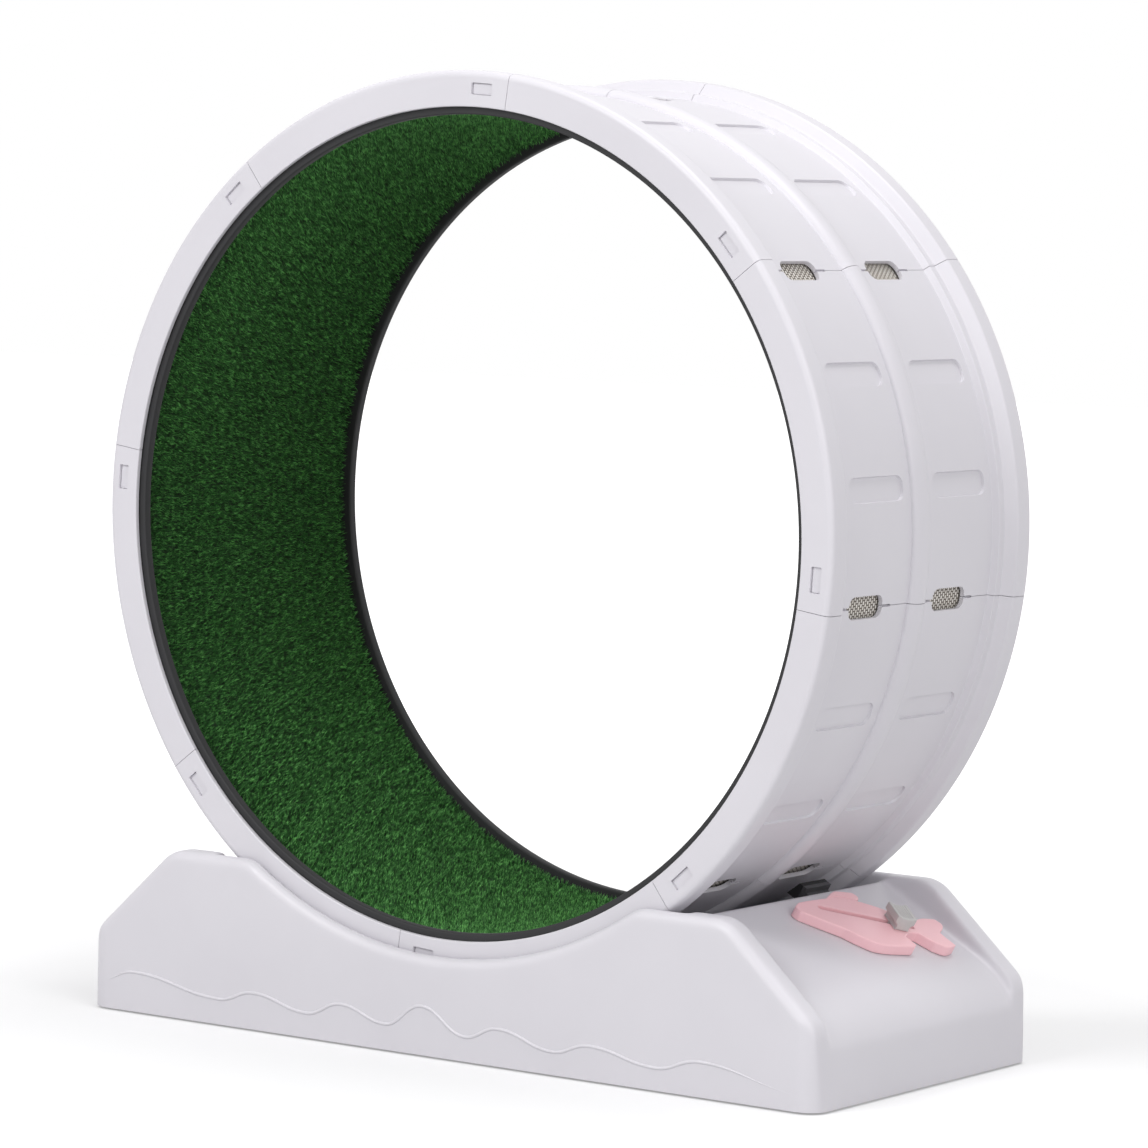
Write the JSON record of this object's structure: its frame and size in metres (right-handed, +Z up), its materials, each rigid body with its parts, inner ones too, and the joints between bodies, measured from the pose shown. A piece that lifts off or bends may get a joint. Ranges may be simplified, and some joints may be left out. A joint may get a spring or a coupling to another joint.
{
  "type": "cat exercise wheel",
  "caption": "Free-standing cat exercise wheel: a turf-lined running ring of moulded segments turns on rollers in a moulded base with a sliding fish-shaped wheel lock.",
  "frame": {"origin": "on the floor under the middle of the wheel", "axes": "+Z up; +Y along the wheel's axis towards the back; +X to the right as seen from the front, where the deck with the lock is"},
  "size_m": [0.8102, 0.352, 0.873],
  "materials": {
    "white_plastic": "moulded, fine satin",
    "inner_plastic": "moulded, plain",
    "turf": "artificial turf, short pile on a woven backing",
    "black_rubber": "matt",
    "pink_plastic": "satin",
    "silver_plastic": "silver-coloured, satin",
    "steel": "bright"
  },
  "bodies": {
    "base": {"base_shell": "white_plastic", "base_pan": "inner_plastic", "rubber_foot_1": "black_rubber", "rubber_foot_2": "black_rubber", "rubber_foot_3": "black_rubber", "rubber_foot_4": "black_rubber", "rubber_foot_5": "black_rubber", "rubber_foot_6": "black_rubber", "pan_screw_1": "steel", "pan_screw_2": "steel", "pan_screw_3": "steel", "pan_screw_4": "steel", "pan_screw_5": "steel", "pan_screw_6": "steel", "roller_axle_front_left": "steel", "roller_axle_back_left": "steel", "roller_axle_front_right": "steel", "roller_axle_back_right": "steel", "roller_bracket_front_left": "inner_plastic", "roller_bracket_back_left": "inner_plastic", "roller_bracket_front_right": "inner_plastic", "roller_bracket_back_right": "inner_plastic", "fish_plate": "pink_plastic", "lock_tray": "inner_plastic", "tray_screw_1": "steel", "tray_screw_2": "steel", "tray_screw_3": "steel", "tray_screw_4": "steel"},
    "wheel": {"wheel_segment_1": "white_plastic", "wheel_segment_2": "white_plastic", "wheel_segment_3": "white_plastic", "wheel_segment_4": "white_plastic", "wheel_segment_5": "white_plastic", "wheel_segment_6": "white_plastic", "wheel_segment_7": "white_plastic", "wheel_segment_8": "white_plastic", "turf_mat": "turf", "edge_trim_front": "black_rubber", "edge_trim_back": "black_rubber"},
    "roller_front_left": {"roller_tyre_front_left": "black_rubber", "roller_hub_front_left": "inner_plastic", "roller_bearing_front_left": "steel"},
    "roller_back_left": {"roller_tyre_back_left": "black_rubber", "roller_hub_back_left": "inner_plastic", "roller_bearing_back_left": "steel"},
    "roller_front_right": {"roller_tyre_front_right": "black_rubber", "roller_hub_front_right": "inner_plastic", "roller_bearing_front_right": "steel"},
    "roller_back_right": {"roller_tyre_back_right": "black_rubber", "roller_hub_back_right": "inner_plastic", "roller_bearing_back_right": "steel"},
    "knob": {"lock_knob": "silver_plastic", "lock_carriage": "inner_plastic", "lock_pin": "steel"},
    "brake": {"brake_arm": "inner_plastic", "brake_pad": "black_rubber"}
  },
  "joints": [
    {"name": "wheel_spin", "type": "hinge", "parent": "base", "child": "wheel", "pos_m": [0, 0, 0.473], "axis": [0, 1, 0], "continuous": true},
    {"name": "roller_front_left_spin", "type": "hinge", "parent": "base", "child": "roller_front_left", "pos_m": [-0.16933, -0.1225, 0.09269], "axis": [0, 1, 0], "continuous": true},
    {"name": "roller_back_left_spin", "type": "hinge", "parent": "base", "child": "roller_back_left", "pos_m": [-0.16933, 0.1225, 0.09269], "axis": [0, 1, 0], "continuous": true},
    {"name": "roller_front_right_spin", "type": "hinge", "parent": "base", "child": "roller_front_right", "pos_m": [0.16933, -0.1225, 0.09269], "axis": [0, 1, 0], "continuous": true},
    {"name": "roller_back_right_spin", "type": "hinge", "parent": "base", "child": "roller_back_right", "pos_m": [0.16933, 0.1225, 0.09269], "axis": [0, 1, 0], "continuous": true},
    {"name": "lock_slide", "type": "slide", "parent": "base", "child": "knob", "axis": [-0.416, -0.8796, 0.2306], "range_m": [-0.008, 0.072]},
    {"name": "brake_slide", "type": "slide", "parent": "base", "child": "brake", "axis": [-0.8746, 0, 0.4848], "range_m": [-0.0014, 0.0121]}
  ],
  "couplings": [
    {"joint": "roller_front_left_spin", "follows": "wheel_spin", "ratio": -15},
    {"joint": "roller_back_left_spin", "follows": "wheel_spin", "ratio": -15},
    {"joint": "roller_front_right_spin", "follows": "wheel_spin", "ratio": -15},
    {"joint": "roller_back_right_spin", "follows": "wheel_spin", "ratio": -15},
    {"joint": "brake_slide", "follows": "lock_slide", "ratio": 0.16667}
  ]
}
